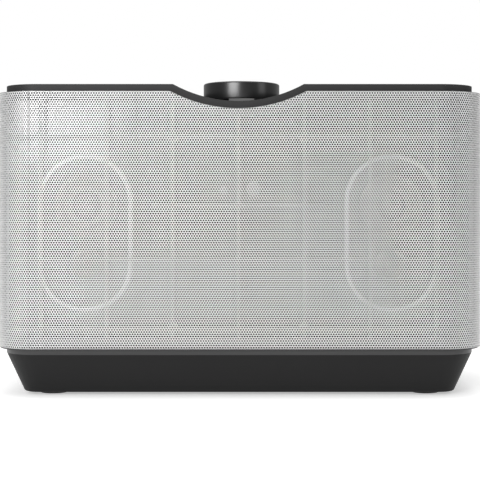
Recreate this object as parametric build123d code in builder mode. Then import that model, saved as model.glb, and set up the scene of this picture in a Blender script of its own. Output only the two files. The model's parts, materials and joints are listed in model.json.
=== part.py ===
from build123d import *
import os

# A one-box table-top hi-fi. Millimetres. +Z up, +X to the right, the front faces -Y.
# The origin is at the middle of the footprint, on the surface that the feet stand on.

# ---- driving dimensions ----------------------------------------------------------------
body_width = 330.0            # across the perforated sleeve
body_depth = 160.0            # from the sleeve's front to the back wall
body_corner = 28.0            # plan radius of the sleeve and of the back
grille_height = 172.0
grille_gauge = 1.0            # sheet thickness
sleeve_stop = 28.0            # how far short of the back the sleeve's sides end

foot_height = 2.0             # showing under the base
foot_radius = 10.0
foot_recess = 1.5
foot_inset_x = 31.4           # a foot's middle, in from the base's rim
foot_inset_y = 30.0

base_height = 30.0
base_band = 3.3               # upright rim at the top of the base
base_step_x = 5.6             # the base's rim stands in from the sleeve
base_step_y = 4.0
base_corner = 24.0
base_taper = 12.3             # the flank leans in by this at the bottom
base_wall = 2.6
base_floor = 3.0
base_edge = 2.0               # rounding of the bottom edge
base_screw_inset_x = 63.4     # a screw's middle, in from the base's rim
base_screw_inset_y = 20.0
base_boss_wall = 1.8
base_vent_count = 24
base_vent_length = 30.0
base_vent_width = 3.0
base_vent_radius = 36.0

deck_thickness = 4.5
deck_inset = 1.3
sleeve_lift = 0.9             # gap between the base and the sleeve

panel_thickness = 5.0         # top panel
dip_half_width = 43.8         # the dip runs from front to back
dip_depth = 11.3

cabinet_inset = 10.0          # the cabinet's sides, in from the sleeve's
cabinet_wall = 2.5
baffle_setback = 12.0         # behind the sleeve's front
baffle_thickness = 4.0

frame_inset = 1.15            # grille frame, measured in from the sleeve's outside
frame_wall = 1.85
frame_flange = 1.8
rib_pitch = 44.0
rib_width = 2.4
rib_lifts = (10.2, 56.5)      # the lower level ribs, above the deck
top_rib_drop = 30.4           # the top level rib, below the sleeve's top
middle_rib_lift = 92.5
middle_rib_half_span = 58.0
frame_rail = 3.5
post_radius = 3.0

pod_inset = 62.4              # middle of each racetrack pod, in from the sleeve's side
pod_drop = 8.6                # the pods' middle, below the grille's middle
pod_spread = 42.0             # between the centres of its two round ends
pod_flange_width = 86.0
pod_rim_width = 64.0
pod_mouth_width = 55.0
driver_rise = 18.3            # the driver's middle, above the pod's
port_drop = 21.0              # the port's middle, below the pod's
pod_flange_front = 5.0        # forward of the baffle
pod_rim_front = 8.5
pod_floor_front = 4.0
port_radius = 9.5
port_wall = 1.5
port_length = 52.0

running_gap = 0.3               # running clearance round moving pieces
seat_gap = 0.05               # between fixed pieces that fit one inside the other

full_range = {
    "frame_radius": 26.0, "frame_thickness": 2.0, "mouth_radius": 19.0,
    "roll_radius": 1.9, "cone_radius": 15.0, "cone_depth": 5.0, "cone_thickness": 0.6,
    "coil_radius": 8.0, "coil_end": 25.0, "depth": 20.0, "skirt": 2.0,
    "magnet_radius": 18.0, "magnet_thickness": 13.0,
    "cap_radius": 10.0, "cap_rise": 4.0, "screw_circle": 23.6,
    "window_width": 12.0, "travel": 2.0,
}
woofer = {                    # its widths keep their distance from the front and the back
    "frame_radius": body_depth / 2 - 20.0, "frame_thickness": 3.0, "mouth_radius": body_depth / 2 - 29.0,
    "roll_radius": 4.5, "cone_radius": body_depth / 2 - 38.2, "cone_depth": 18.0, "cone_thickness": 0.8,
    "coil_radius": 16.5, "coil_end": 46.0, "depth": 38.0, "skirt": 2.5,
    "magnet_radius": 42.0, "magnet_thickness": 20.0,
    "cap_radius": 22.0, "cap_rise": 6.0, "screw_circle": body_depth / 2 - 24.0,
    "window_width": 34.0, "travel": 4.0,
}
screw_radius = 1.2
screw_head_radius = 1.8
screw_head_height = 1.0
screw_length = 6.0
cone_land = 2.0               # flat glued under the surround

knob_radius = 27.5
knob_height = 12.2
knob_lift = 6.0               # knob's lower edge above the dip's floor
knob_wall = 2.6
knob_roof = 3.0
knob_hub_radius = 6.5
knob_edge = 1.2
ring_radius = 9.2
ring_height = 8.9             # from the dip's floor up into the knob
shaft_radius = 3.0
bushing_radius = 4.5
encoder_size = 13.0
encoder_height = 8.0
plunger_radius = 5.0
plunger_height = 1.0
push_travel = 0.6

key_radius = 5.5
key_first = 64.0
key_pitch = 20.0
key_stem_radius = 2.5
key_travel = 0.6
board_boss_inset = 4.0        # in from the control board's edge
dip_boss_gap = 10.0           # from the dip's edge out to the nearest boss
key_left_names = ("power_key", "input_key", "pairing_key")
key_right_names = ("previous_key", "play_key", "next_key")

board_thickness = 1.6
control_board_half_length = 112.0
control_board_half_width = 16.0
switch_size = 6.0
switch_height = 3.2

rear_panel_width = 236.0
rear_panel_height = 50.0
rear_panel_thickness = 2.5
rear_panel_lift = 7.5         # above the deck
rear_opening_margin = 8.0
rear_board_reach = 16.4       # from the rear panel's outside to the boards
mains_x, optical_x, aux_x, usb_x, lan_x = -90.0, -8.0, 16.0, 44.0, 80.0
mains_size, mains_cavity, mains_cavity_depth = (24.0, 15.0), (16.6, 9.2), 13.0
mains_pin_radius, mains_pin_spacing = 1.2, 8.6
lan_size, lan_cavity, lan_cavity_depth = (16.0, 14.0), (12.0, 8.6), 13.0
usb_size, usb_cavity, usb_cavity_depth = (14.6, 8.0), (12.6, 5.2), 12.0
usb_tongue_thickness = 1.9
optical_size, optical_cavity, optical_cavity_depth = (11.0, 11.0), (6.2, 6.2), 11.0
aux_size, aux_bore_radius, aux_depth = (12.0, 11.0), 1.8, 14.0
lead_radius = 1.2
lead_first_run = 42.0         # straight back from a driver
lead_last_run = 27.5          # straight up to the main board
lead_bend = 10.0
woofer_lead_rise = 20.0

sensor_x, sensor_lift, sensor_radius = 10.0, 103.5, 5.0
status_x, status_lift, status_radius = -10.0, 102.5, 3.0
window_proud = 1.6

# ---- places that follow from them ------------------------------------------------------
base_top = foot_height + base_height
deck_top = base_top + deck_thickness
sleeve_bottom = base_top + sleeve_lift
middle_rib_height = deck_top + middle_rib_lift
pod_height = sleeve_bottom + grille_height / 2 - pod_drop
sensor_height, status_height = deck_top + sensor_lift, deck_top + status_lift
sleeve_top = sleeve_bottom + grille_height
rib_heights = [*(deck_top + lift for lift in rib_lifts), sleeve_top - top_rib_drop]
panel_top = sleeve_top + panel_thickness
dip_radius = (dip_half_width ** 2 + dip_depth ** 2) / (2 * dip_depth)
dip_axis = panel_top - dip_depth + dip_radius
dip_floor = panel_top - dip_depth
back = body_depth / 2
sleeve_end = back - sleeve_stop
cabinet_half_width = body_width / 2 - cabinet_inset
baffle_front = baffle_setback - back
pod_x = body_width / 2 - pod_inset
cabinet_front = baffle_front + baffle_thickness
shell_join = sleeve_end + 0.6
roof_under = sleeve_top - cabinet_wall
wall_inside = back - cabinet_wall
driver_height = pod_height + driver_rise
port_height = pod_height - port_drop
knob_bottom = dip_floor + knob_lift
dip_under = dip_axis - dip_radius - panel_thickness - cabinet_wall
control_board_top = dip_under - 0.7
control_board_bottom = control_board_top - board_thickness
rear_panel_middle = deck_top + rear_panel_lift + rear_panel_height / 2
rear_panel_face = wall_inside
board_back = rear_panel_face - rear_board_reach
board_front = board_back - board_thickness
reach = 2 * body_width        # longer than anything that is cut


def finish(piece, name):
    """Label a piece and write it under its own name."""
    piece.part.label = name
    export_step(piece.part, f"parts/{name}.step")


def sleeve_plan(inset, mode=Mode.ADD):
    """The sleeve's plan outline, moved in by inset."""
    RectangleRounded(body_width - 2 * inset, body_depth - 2 * inset, body_corner - inset, mode=mode)


def behind(y, mode):
    """Everything behind the line at y, in a plan sketch."""
    with Locations((0, y + reach / 2)):
        Rectangle(reach, reach, mode=mode)


def in_front(y, mode):
    """Everything in front of the line at y, in a plan sketch."""
    with Locations((0, y - reach / 2)):
        Rectangle(reach, reach, mode=mode)


def cut_dip(radius):
    """Cut the dip's cylinder, at the given radius, out of the part being built."""
    with BuildSketch(Plane.XZ) as disc:
        with Locations((0, dip_axis)):
            Circle(radius)
    extrude(disc.sketch, amount=reach, both=True, mode=Mode.SUBTRACT)


def dipped_band(top, radius, thickness):
    """A level band whose middle follows the dip, seen from the front."""
    with Locations((0, dip_axis)):
        Circle(radius + thickness)
    with Locations((0, top - reach / 2)):
        Rectangle(reach, reach, mode=Mode.INTERSECT)
    with Locations((0, top - thickness / 2)):
        Rectangle(reach, thickness)
    with Locations((0, dip_axis)):
        Circle(radius, mode=Mode.SUBTRACT)


os.makedirs("parts", exist_ok=True)

# ---- base ------------------------------------------------------------------------------
base_half_x = body_width / 2 - base_step_x
base_half_y = body_depth / 2 - base_step_y
band_bottom = base_top - base_band
flank_height = band_bottom - foot_height
corners = [(x, y) for x in (-1, 1) for y in (-1, 1)]
base_screw_points = [
    (x * (base_half_x - base_screw_inset_x), y * (base_half_y - base_screw_inset_y)) for x, y in corners
]
foot_points = [(x * (base_half_x - foot_inset_x), y * (base_half_y - foot_inset_y)) for x, y in corners]
base_screw_radius = 1.8
base_screw_head_radius = 3.4
base_screw_head_height = 2.2
base_screw_shoulder = base_top - 8.0


def base_section(z, inset):
    """The base's outline at height z, moved in by inset."""
    lean = base_taper * max(0.0, band_bottom - z) / flank_height + inset
    RectangleRounded(2 * (base_half_x - lean), 2 * (base_half_y - lean), base_corner - lean)


with BuildPart() as base_hollow:
    for z in (foot_height + base_floor, band_bottom):
        with BuildSketch(Plane.XY.offset(z)):
            base_section(z, base_wall)
    loft(ruled=True)
    with BuildSketch(Plane.XY.offset(band_bottom)):
        base_section(band_bottom, base_wall)
    extrude(amount=base_band)

with BuildPart() as base_shell:
    for z in (foot_height, band_bottom):
        with BuildSketch(Plane.XY.offset(z)):
            base_section(z, 0)
    loft(ruled=True)
    with BuildSketch(Plane.XY.offset(band_bottom)):
        base_section(band_bottom, 0)
    extrude(amount=base_band)
    fillet(base_shell.faces().sort_by(Axis.Z)[0].edges(), base_edge)
    add(base_hollow.part, mode=Mode.SUBTRACT)
    with BuildSketch(Plane.XY.offset(foot_height + base_floor / 2)):
        with Locations(*base_screw_points):
            Circle(base_screw_head_radius + base_boss_wall)
    extrude(amount=base_top - foot_height - base_floor / 2)
    with BuildSketch(Plane.XY.offset(foot_height)):
        with Locations(*base_screw_points):
            Circle(base_screw_head_radius + 0.2)
    extrude(amount=base_screw_shoulder - foot_height, mode=Mode.SUBTRACT)
    with BuildSketch(Plane.XY.offset(foot_height)):
        with Locations(*base_screw_points):
            Circle(base_screw_radius + seat_gap)
    extrude(amount=base_height, mode=Mode.SUBTRACT)
    with BuildSketch(Plane.XY.offset(foot_height)):
        with Locations(*foot_points):
            Circle(foot_radius + 0.2)
    extrude(amount=foot_recess, mode=Mode.SUBTRACT)
    with BuildSketch(Plane.XY.offset(foot_height)):
        with PolarLocations(base_vent_radius, base_vent_count):
            SlotOverall(base_vent_length, base_vent_width)
    extrude(amount=base_floor, mode=Mode.SUBTRACT)
finish(base_shell, "base_shell")

with BuildPart() as rubber_feet:
    with BuildSketch():
        with Locations(*foot_points):
            Circle(foot_radius)
    extrude(amount=foot_height + foot_recess)
    fillet(rubber_feet.faces().group_by(Axis.Z)[0].edges(), 0.8)
finish(rubber_feet, "rubber_feet")

with BuildPart() as base_screws:
    with BuildSketch(Plane.XY.offset(base_screw_shoulder)):
        with Locations(*base_screw_points):
            Circle(base_screw_head_radius)
    extrude(amount=-base_screw_head_height)
    with BuildSketch(Plane.XY.offset(base_screw_shoulder)):
        with Locations(*base_screw_points):
            Circle(base_screw_radius)
    extrude(amount=deck_top - 0.5 - base_screw_shoulder)
finish(base_screws, "base_screws")

with BuildPart() as bottom_deck:
    with BuildSketch(Plane.XY.offset(base_top)):
        sleeve_plan(deck_inset)
        Circle(woofer["mouth_radius"] + woofer["skirt"] + 0.5, mode=Mode.SUBTRACT)
        with Locations(*base_screw_points):
            Circle(base_screw_radius + seat_gap, mode=Mode.SUBTRACT)
        with PolarLocations(woofer["screw_circle"], 4, start_angle=45):
            Circle(screw_radius + seat_gap, mode=Mode.SUBTRACT)
    extrude(amount=deck_thickness)
finish(bottom_deck, "bottom_deck")

# ---- cabinet ---------------------------------------------------------------------------
key_columns = [key_first + i * key_pitch for i in range(len(key_left_names))]
key_points = [(-x, 0) for x in key_columns] + [(x, 0) for x in key_columns]
board_boss_points = [
    (x, y)
    for x in (board_boss_inset - control_board_half_length, -dip_half_width - dip_boss_gap,
              dip_half_width + dip_boss_gap, control_board_half_length - board_boss_inset)
    for y in (board_boss_inset - control_board_half_width, control_board_half_width - board_boss_inset)
]
rear_screw_points = [
    (x * (rear_panel_width / 2 - 4), rear_panel_middle + z * (rear_panel_height / 2 - 4))
    for x in (-1, 1) for z in (-1, 1)
]

with BuildPart() as cavity:
    with BuildSketch(Plane.XY.offset(deck_top)):
        sleeve_plan(cabinet_wall)
        in_front(shell_join + cabinet_wall, Mode.SUBTRACT)
        with Locations((0, (cabinet_front + shell_join + cabinet_wall) / 2)):
            Rectangle(2 * (cabinet_half_width - cabinet_wall), shell_join + cabinet_wall - cabinet_front + 2)
    extrude(amount=roof_under - deck_top)
    cut_dip(dip_radius + panel_thickness + cabinet_wall)

with BuildPart() as cabinet_shell:
    with BuildSketch(Plane.XY.offset(deck_top)):
        sleeve_plan(0)
        in_front(shell_join, Mode.SUBTRACT)
        with Locations((0, (cabinet_front + shell_join + 1) / 2)):
            Rectangle(2 * cabinet_half_width, shell_join + 1 - cabinet_front)
    extrude(amount=sleeve_top - deck_top)
    cut_dip(dip_radius + panel_thickness)
    add(cavity.part, mode=Mode.SUBTRACT)
    with BuildSketch(Plane.XY.offset(control_board_top)):
        with Locations(*board_boss_points):
            Circle(post_radius)
    extrude(amount=roof_under + cabinet_wall / 2 - control_board_top)
    with BuildSketch(Plane.XY.offset(dip_under - 1)):
        Circle(bushing_radius + running_gap)
        with Locations(*key_points):
            Circle(key_stem_radius + running_gap)
    extrude(amount=reach, mode=Mode.SUBTRACT)
    with BuildSketch(Plane.XZ.offset(-back)):
        with Locations((0, rear_panel_middle)):
            RectangleRounded(rear_panel_width - 2 * rear_opening_margin,
                             rear_panel_height - 2 * rear_opening_margin, 3)
    extrude(amount=cabinet_wall, mode=Mode.SUBTRACT)
    with BuildSketch(Plane.XZ.offset(-back)):
        with Locations(*rear_screw_points):
            Circle(screw_head_radius + 0.2)
    extrude(amount=screw_head_height + 0.2, mode=Mode.SUBTRACT)
    with BuildSketch(Plane.XZ.offset(-back)):
        with Locations(*rear_screw_points):
            Circle(screw_radius + seat_gap)
    extrude(amount=cabinet_wall, mode=Mode.SUBTRACT)
finish(cabinet_shell, "cabinet_shell")

with BuildPart() as front_baffle:
    with BuildSketch(Plane.XZ.offset(-cabinet_front)):
        with Locations((0, (deck_top + sleeve_top) / 2)):
            Rectangle(2 * cabinet_half_width, sleeve_top - deck_top)
        with Locations((0, dip_axis)):
            Circle(dip_radius + panel_thickness + 0.1, mode=Mode.SUBTRACT)
        for side in (-1, 1):
            with Locations((side * pod_x, driver_height)):
                Circle(full_range["mouth_radius"] + full_range["skirt"] + 0.3, mode=Mode.SUBTRACT)
                with PolarLocations(full_range["screw_circle"], 4, start_angle=45):
                    Circle(screw_radius + seat_gap, mode=Mode.SUBTRACT)
            with Locations((side * pod_x, port_height)):
                Circle(port_radius + port_wall + seat_gap, mode=Mode.SUBTRACT)
    extrude(amount=baffle_thickness)
finish(front_baffle, "front_baffle")

with BuildPart() as top_panel:
    with BuildSketch(Plane.XZ):
        dipped_band(panel_top, dip_radius, panel_thickness)
    extrude(amount=reach, both=True)
    with BuildSketch(Plane.XY.offset(dip_floor - 2 * panel_thickness)):
        RectangleRounded(2 * base_half_x, 2 * base_half_y, base_corner)
        Circle(bushing_radius + running_gap, mode=Mode.SUBTRACT)
        with Locations(*key_points):
            Circle(key_radius + running_gap, mode=Mode.SUBTRACT)
    extrude(amount=reach, mode=Mode.INTERSECT)
finish(top_panel, "top_panel")

# ---- grille and its frame --------------------------------------------------------------
with BuildPart() as front_grille:
    with BuildSketch(Plane.XY.offset(sleeve_bottom)):
        sleeve_plan(0)
        sleeve_plan(grille_gauge, Mode.SUBTRACT)
        behind(sleeve_end, Mode.SUBTRACT)
    extrude(amount=grille_height)
    cut_dip(dip_radius + panel_thickness + 0.1)
finish(front_grille, "front_grille")

rib_columns = [i * rib_pitch for i in range(-3, 4)]
side_ribs = (-rib_pitch, 0.0, rib_pitch)
post_points = [(x, z) for x in (-rib_pitch, rib_pitch) for z in (rib_heights[0], rib_heights[-1])]
frame_bottom_rail = deck_top + frame_rail
frame_top_rail = sleeve_top - frame_flange - frame_rail
frame_front = -body_depth / 2 + frame_inset
frame_back = sleeve_end - 0.5

with BuildPart() as front_windows:
    with BuildSketch(Plane.XZ.offset(body_depth / 2)):
        with Locations((0, (frame_bottom_rail + frame_top_rail) / 2)):
            Rectangle(body_width, frame_top_rail - frame_bottom_rail)
        with Locations((0, dip_axis)):
            Circle(dip_radius + panel_thickness + frame_flange + frame_rail, mode=Mode.SUBTRACT)
        with Locations(*[(x, sleeve_top / 2) for x in rib_columns]):
            Rectangle(rib_width, reach, mode=Mode.SUBTRACT)
        with Locations(*[(0, z) for z in rib_heights]):
            Rectangle(reach, rib_width, mode=Mode.SUBTRACT)
        with Locations((0, middle_rib_height)):
            Rectangle(2 * middle_rib_half_span, rib_width, mode=Mode.SUBTRACT)
    extrude(amount=-(body_corner - 2))

with BuildPart() as side_windows:
    with BuildSketch(Plane.YZ):
        with Locations((0, (frame_bottom_rail + frame_top_rail) / 2)):
            Rectangle(2 * (frame_back - frame_rail), frame_top_rail - frame_bottom_rail)
        in_front_of_corner = -body_depth / 2 + body_corner
        with Locations((in_front_of_corner - reach / 2, 0)):
            Rectangle(reach, reach, mode=Mode.SUBTRACT)
        with Locations(*[(0, z) for z in rib_heights]):
            Rectangle(reach, rib_width, mode=Mode.SUBTRACT)
        with Locations(*[(y, sleeve_top / 2) for y in side_ribs]):
            Rectangle(rib_width, reach, mode=Mode.SUBTRACT)
    extrude(amount=body_width, both=True)

with BuildPart() as frame_flange_ring:
    with BuildSketch(Plane.XZ):
        dipped_band(sleeve_top, dip_radius + panel_thickness + 0.1, frame_flange)
    extrude(amount=reach, both=True)
    with BuildSketch(Plane.XY.offset(dip_floor - 4 * panel_thickness)):
        sleeve_plan(frame_inset)
        behind(frame_back, Mode.SUBTRACT)
        with Locations((0, (baffle_front - 0.3 + reach / 2))):
            Rectangle(2 * (cabinet_half_width + 0.3), reach, mode=Mode.SUBTRACT)
    extrude(amount=reach, mode=Mode.INTERSECT)

with BuildPart() as grille_frame:
    with BuildSketch(Plane.XY.offset(deck_top)):
        sleeve_plan(frame_inset)
        sleeve_plan(frame_inset + frame_wall, Mode.SUBTRACT)
        behind(frame_back, Mode.SUBTRACT)
    extrude(amount=sleeve_top - deck_top)
    cut_dip(dip_radius + panel_thickness + 0.1)
    add(front_windows.part, mode=Mode.SUBTRACT)
    add(side_windows.part, mode=Mode.SUBTRACT)
    add(frame_flange_ring.part)
    with BuildSketch(Plane.XZ.offset(-baffle_front)):
        with Locations(*post_points):
            Circle(post_radius)
    extrude(amount=-frame_front - frame_wall / 2 + baffle_front)
finish(grille_frame, "grille_frame")

# ---- speaker units ---------------------------------------------------------------------


def revolve_section(mouth, facing):
    """Spin the sketch just made about the line through mouth, along facing."""
    revolve(axis=Axis(mouth, facing))


def section_plane(mouth, facing):
    """The plane of a unit's half section: x is the radius and y runs out of the front."""
    return Plane(origin=mouth, x_dir=(1, 0, 0), z_dir=Vector(1, 0, 0).cross(Vector(*facing)))


def face_plane(mouth, facing, ahead=0.0):
    """The plane square to a unit's axis, moved ahead of its frame's front face."""
    return Plane(origin=mouth, x_dir=(1, 0, 0), z_dir=facing).offset(ahead)


def speaker_unit(name, mouth, facing, size):
    """Write the five pieces of one loudspeaker unit, whose frame's front face is at mouth."""
    section = section_plane(mouth, facing)
    rim, neck, sheet = size["mouth_radius"], size["coil_radius"], size["cone_thickness"]
    depth, skirt, frame = size["depth"], size["skirt"], size["frame_thickness"]
    seat = size["magnet_radius"] - 1.0
    if seat > rim - 2:
        seat = rim - 2
    coil_gap = neck + 0.4
    cone_rim = size["cone_radius"]

    with BuildPart() as basket:
        with BuildSketch(section):
            Polygon(
                (rim, 0), (size["frame_radius"], 0), (size["frame_radius"], -frame),
                (rim + skirt, -frame), (seat, -depth + skirt), (seat, -depth),
                (coil_gap + 0.6, -depth), (coil_gap + 0.6, -depth + skirt),
                (seat - skirt, -depth + skirt), (rim, -frame),
            align=None,
        )
        revolve_section(mouth, facing)
        with BuildSketch(face_plane(mouth, facing, -frame - 1)):
            with PolarLocations((rim + seat) / 2, 4):
                Rectangle(2 * skirt + rim - seat + 8, size["window_width"])
        extrude(amount=-(depth - frame - 2 - skirt), mode=Mode.SUBTRACT)
        with BuildSketch(face_plane(mouth, facing)):
            with PolarLocations(size["screw_circle"], 4, start_angle=45):
                Circle(screw_head_radius + 0.1)
        extrude(amount=-screw_head_height - 0.1, mode=Mode.SUBTRACT)
        with BuildSketch(face_plane(mouth, facing)):
            with PolarLocations(size["screw_circle"], 4, start_angle=45):
                Circle(screw_radius + seat_gap)
        extrude(amount=-frame, mode=Mode.SUBTRACT)
    finish(basket, f"{name}_basket")

    with BuildPart() as magnet:
        top, bottom = -depth, -depth - size["magnet_thickness"]
        pole, slot_end = neck - sheet - 0.4, -size["coil_end"] - size["travel"] - 0.6
        with BuildSketch(section):
            Polygon(
                (0, top), (pole, top), (pole, slot_end), (coil_gap, slot_end), (coil_gap, top),
                (size["magnet_radius"], top), (size["magnet_radius"], bottom), (0, bottom),
            align=None,
        )
        revolve_section(mouth, facing)
    finish(magnet, f"{name}_magnet")

    with BuildPart() as surround:
        roll, centre = size["roll_radius"], (cone_rim + rim) / 2
        rubber = 2 * (roll - (rim - cone_rim) / 2) + 0.6
        with BuildSketch(section):
            with Locations((centre, 0)):
                Circle(roll + rubber / 2)
                Circle(roll - rubber / 2, mode=Mode.SUBTRACT)
            with Locations((centre, -reach / 2)):
                Rectangle(reach, reach, mode=Mode.SUBTRACT)
            with Locations((centre + roll - rubber / 2, 0)):
                Rectangle(rubber + 1.0, rubber, align=(Align.MIN, Align.MIN))
            with Locations((centre - roll + rubber / 2, 0)):
                Rectangle(rubber + 1.4, rubber, align=(Align.MAX, Align.MIN))
        revolve_section(mouth, facing)
    finish(surround, f"{name}_surround")

    with BuildPart() as cone:
        with BuildSketch(section):
            Polygon(
                (cone_rim, 0), (cone_rim, -sheet), (cone_rim - cone_land, -sheet),
                (neck, -size["cone_depth"] - sheet), (neck, -size["coil_end"]),
                (neck - sheet, -size["coil_end"]), (neck - sheet, -size["cone_depth"]),
                (cone_rim - cone_land, 0),
            align=None,
        )
        revolve_section(mouth, facing)
    finish(cone, f"{name}_cone")

    with BuildPart() as dust_cap:
        slope = size["cone_depth"] / (cone_rim - cone_land - neck + sheet)
        edge = -slope * (cone_rim - cone_land - size["cap_radius"]) + 0.15
        ball = (size["cap_radius"] ** 2 + size["cap_rise"] ** 2) / (2 * size["cap_rise"])
        with BuildSketch(section):
            with Locations((0, edge + size["cap_rise"] - ball)):
                Circle(ball)
                Circle(ball - sheet, mode=Mode.SUBTRACT)
            with Locations((0, edge)):
                Rectangle(size["cap_radius"], reach, align=(Align.MIN, Align.MIN), mode=Mode.INTERSECT)
        revolve_section(mouth, facing)
    finish(dust_cap, f"{name}_dust_cap")


driver_face = baffle_front - full_range["frame_thickness"]
driver_mouths = {"left": (-pod_x, driver_face, driver_height), "right": (pod_x, driver_face, driver_height)}
woofer_mouth = (0, 0, base_top - woofer["frame_thickness"])
forward, down = (0, -1, 0), (0, 0, -1)
for side_name, mouth in driver_mouths.items():
    speaker_unit(f"{side_name}_driver", mouth, forward, full_range)
speaker_unit("woofer", woofer_mouth, down, woofer)

for side_name, side in (("left", -1), ("right", 1)):
    pod_middle = (side * pod_x, pod_height)
    with BuildPart() as pod:
        with BuildSketch(Plane.XZ.offset(-baffle_front)):
            with Locations(pod_middle):
                SlotCenterToCenter(pod_spread, pod_flange_width, rotation=90)
        extrude(amount=pod_flange_front)
        fillet(pod.faces().sort_by(Axis.Y)[0].edges(), 1.5)
        with BuildSketch(Plane.XZ.offset(-baffle_front + pod_flange_front - 1)):
            with Locations(pod_middle):
                SlotCenterToCenter(pod_spread, pod_rim_width, rotation=90)
        extrude(amount=pod_rim_front - pod_flange_front + 1)
        with BuildSketch(Plane.XZ.offset(-baffle_front + pod_floor_front)):
            with Locations(pod_middle):
                SlotCenterToCenter(pod_spread, pod_mouth_width, rotation=90)
        extrude(amount=pod_rim_front, mode=Mode.SUBTRACT)
        fillet(pod.faces().sort_by(Axis.Y)[0].edges(), 0.45 * (pod_rim_width - pod_mouth_width) / 2)
        with BuildSketch(Plane.XZ.offset(-baffle_front)):
            with Locations((side * pod_x, driver_height)):
                Circle(full_range["frame_radius"] + 0.3)
        extrude(amount=full_range["frame_thickness"] + 0.1, mode=Mode.SUBTRACT)
        with BuildSketch(Plane.XZ.offset(-baffle_front)):
            with Locations((side * pod_x, driver_height)):
                Circle(full_range["mouth_radius"] + 2.2)
            with Locations((side * pod_x, port_height)):
                Circle(port_radius + port_wall + seat_gap)
        extrude(amount=pod_rim_front, mode=Mode.SUBTRACT)
    finish(pod, f"{side_name}_pod")

    with BuildPart() as port_tube:
        with BuildSketch(Plane.XZ.offset(-baffle_front + pod_floor_front - 0.1)):
            with Locations((side * pod_x, port_height)):
                Circle(port_radius + port_wall)
                Circle(port_radius, mode=Mode.SUBTRACT)
        extrude(amount=-port_length)
    finish(port_tube, f"{side_name}_port_tube")

with BuildPart() as driver_screws:
    for mouth, facing, size in [(m, forward, full_range) for m in driver_mouths.values()] + [
        (woofer_mouth, down, woofer)
    ]:
        with BuildSketch(face_plane(mouth, facing, -0.05)):
            with PolarLocations(size["screw_circle"], 4, start_angle=45):
                Circle(screw_head_radius)
        extrude(amount=-screw_head_height)
        with BuildSketch(face_plane(mouth, facing, -0.05)):
            with PolarLocations(size["screw_circle"], 4, start_angle=45):
                Circle(screw_radius)
        extrude(amount=-screw_length)
finish(driver_screws, "driver_screws")

# ---- remote sensor and status light ----------------------------------------------------
with BuildPart() as sensor_window:
    with BuildSketch(Plane.XZ.offset(-baffle_front)):
        with Locations((sensor_x, sensor_height)):
            Circle(sensor_radius)
    extrude(amount=window_proud)
    fillet(sensor_window.faces().sort_by(Axis.Y)[0].edges(), 0.6)
finish(sensor_window, "sensor_window")

with BuildPart() as status_light:
    with BuildSketch(Plane.XZ.offset(-baffle_front)):
        with Locations((status_x, status_height)):
            Circle(status_radius)
    extrude(amount=window_proud)
    fillet(status_light.faces().sort_by(Axis.Y)[0].edges(), 0.6)
finish(status_light, "status_light")

# ---- knob and its encoder --------------------------------------------------------------
knob_top = knob_bottom + knob_height
hub_bottom = knob_bottom + push_travel
encoder_top = control_board_bottom
encoder_bottom = encoder_top - encoder_height
plunger_bottom = encoder_bottom + 1.0 + push_travel + running_gap
shaft_bottom = plunger_bottom + plunger_height + 0.1
shaft_top = knob_top - knob_roof + 0.4
vertical = (0, 0, 1)

with BuildPart() as knob:
    with BuildSketch(Plane.XZ):
        Polygon(
            (shaft_radius + 0.02, hub_bottom), (knob_hub_radius, hub_bottom),
            (knob_hub_radius, knob_top - knob_roof), (knob_radius - knob_wall, knob_top - knob_roof),
            (knob_radius - knob_wall, knob_bottom), (knob_radius, knob_bottom),
            (knob_radius, knob_top), (0, knob_top), (0, shaft_top + 0.2),
            (shaft_radius + 0.02, shaft_top + 0.2),
            align=None,
        )
    revolve_section((0, 0, 0), vertical)
    fillet(knob.faces().sort_by(Axis.Z)[-1].edges(), knob_edge)
finish(knob, "knob")

with BuildPart() as encoder_shaft:
    with BuildSketch(Plane.XY.offset(shaft_bottom)):
        Circle(shaft_radius)
    extrude(amount=shaft_top - shaft_bottom)
finish(encoder_shaft, "encoder_shaft")

with BuildPart() as encoder_plunger:
    with BuildSketch(Plane.XY.offset(plunger_bottom)):
        Circle(plunger_radius)
    extrude(amount=plunger_height)
finish(encoder_plunger, "encoder_plunger")

with BuildPart() as encoder_body:
    with BuildSketch(Plane.XY.offset(encoder_bottom)):
        Rectangle(encoder_size, encoder_size)
    extrude(amount=encoder_height)
    with BuildSketch(Plane.XY.offset(encoder_top)):
        Circle(bushing_radius)
    extrude(amount=dip_floor + 0.4 - encoder_top)
    with BuildSketch(Plane.XY.offset(encoder_bottom + 1.0)):
        Circle(plunger_radius + running_gap)
    extrude(amount=encoder_height - 2.0, mode=Mode.SUBTRACT)
    with BuildSketch(Plane.XY.offset(encoder_bottom + 2.0)):
        Circle(shaft_radius + seat_gap)
    extrude(amount=reach, mode=Mode.SUBTRACT)
finish(encoder_body, "encoder_body")

with BuildPart() as light_ring:
    with BuildSketch(Plane.XY.offset(dip_floor - 1)):
        Circle(ring_radius)
        Circle(knob_hub_radius + 0.6, mode=Mode.SUBTRACT)
    extrude(amount=ring_height + 1)
    with BuildSketch(Plane.XZ):
        with Locations((0, dip_axis)):
            Circle(dip_radius - seat_gap)
    extrude(amount=reach, both=True, mode=Mode.INTERSECT)
finish(light_ring, "light_ring")

# ---- keys, their switches and board ----------------------------------------------------
key_top = panel_top - 0.1
key_cap_bottom = sleeve_top + key_travel + running_gap
switch_top = control_board_top + switch_height
key_stem_bottom = switch_top + key_travel + running_gap

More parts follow.
